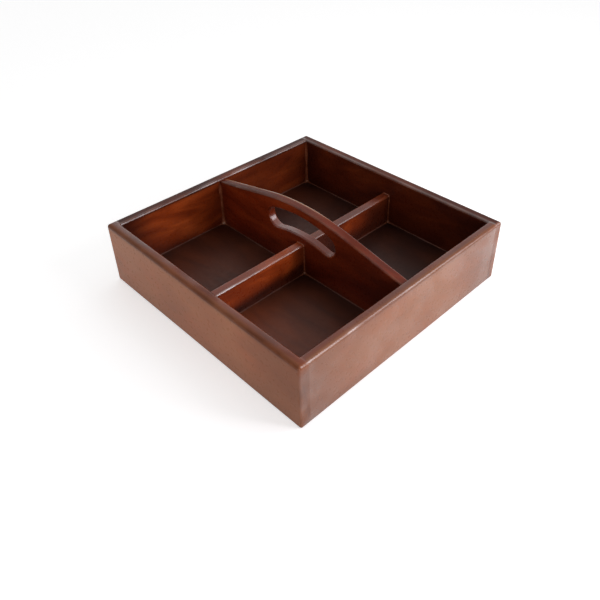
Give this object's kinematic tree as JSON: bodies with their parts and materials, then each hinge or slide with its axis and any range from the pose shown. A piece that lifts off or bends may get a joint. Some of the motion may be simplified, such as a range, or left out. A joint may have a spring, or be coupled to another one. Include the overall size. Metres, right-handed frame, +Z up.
{
  "type": "compartment serving tray",
  "caption": "Square serving tray of dark lacquered wood, with an arched handle board, a grip slot and a low cross divider that part it into compartments.",
  "frame": {"origin": "middle of the underside, on the plane that the walls stand on", "axes": "+Z up; X along the handle board, +X to the right; +Y from the front wall to the back wall"},
  "size_m": [0.254, 0.254, 0.08],
  "materials": {
    "lacquered_wood": "dark red-brown stain under gloss lacquer",
    "lacquered_floor": "darker brown stain under gloss lacquer",
    "brad_steel": "bare drawn steel"
  },
  "bodies": {
    "root": {"front_wall": "lacquered_wood", "back_wall": "lacquered_wood", "left_wall": "lacquered_wood", "right_wall": "lacquered_wood", "base_panel": "lacquered_floor", "handle_board": "lacquered_wood", "cross_divider": "lacquered_wood", "corner_brad_front_left_1": "brad_steel", "corner_brad_front_left_2": "brad_steel", "corner_brad_front_left_3": "brad_steel", "corner_brad_front_right_1": "brad_steel", "corner_brad_front_right_2": "brad_steel", "corner_brad_front_right_3": "brad_steel", "corner_brad_back_left_1": "brad_steel", "corner_brad_back_left_2": "brad_steel", "corner_brad_back_left_3": "brad_steel", "corner_brad_back_right_1": "brad_steel", "corner_brad_back_right_2": "brad_steel", "corner_brad_back_right_3": "brad_steel", "handle_brad_left_1": "brad_steel", "handle_brad_left_2": "brad_steel", "handle_brad_right_1": "brad_steel", "handle_brad_right_2": "brad_steel", "divider_brad_front_1": "brad_steel", "divider_brad_front_2": "brad_steel", "divider_brad_back_1": "brad_steel", "divider_brad_back_2": "brad_steel"}
  },
  "joints": []
}
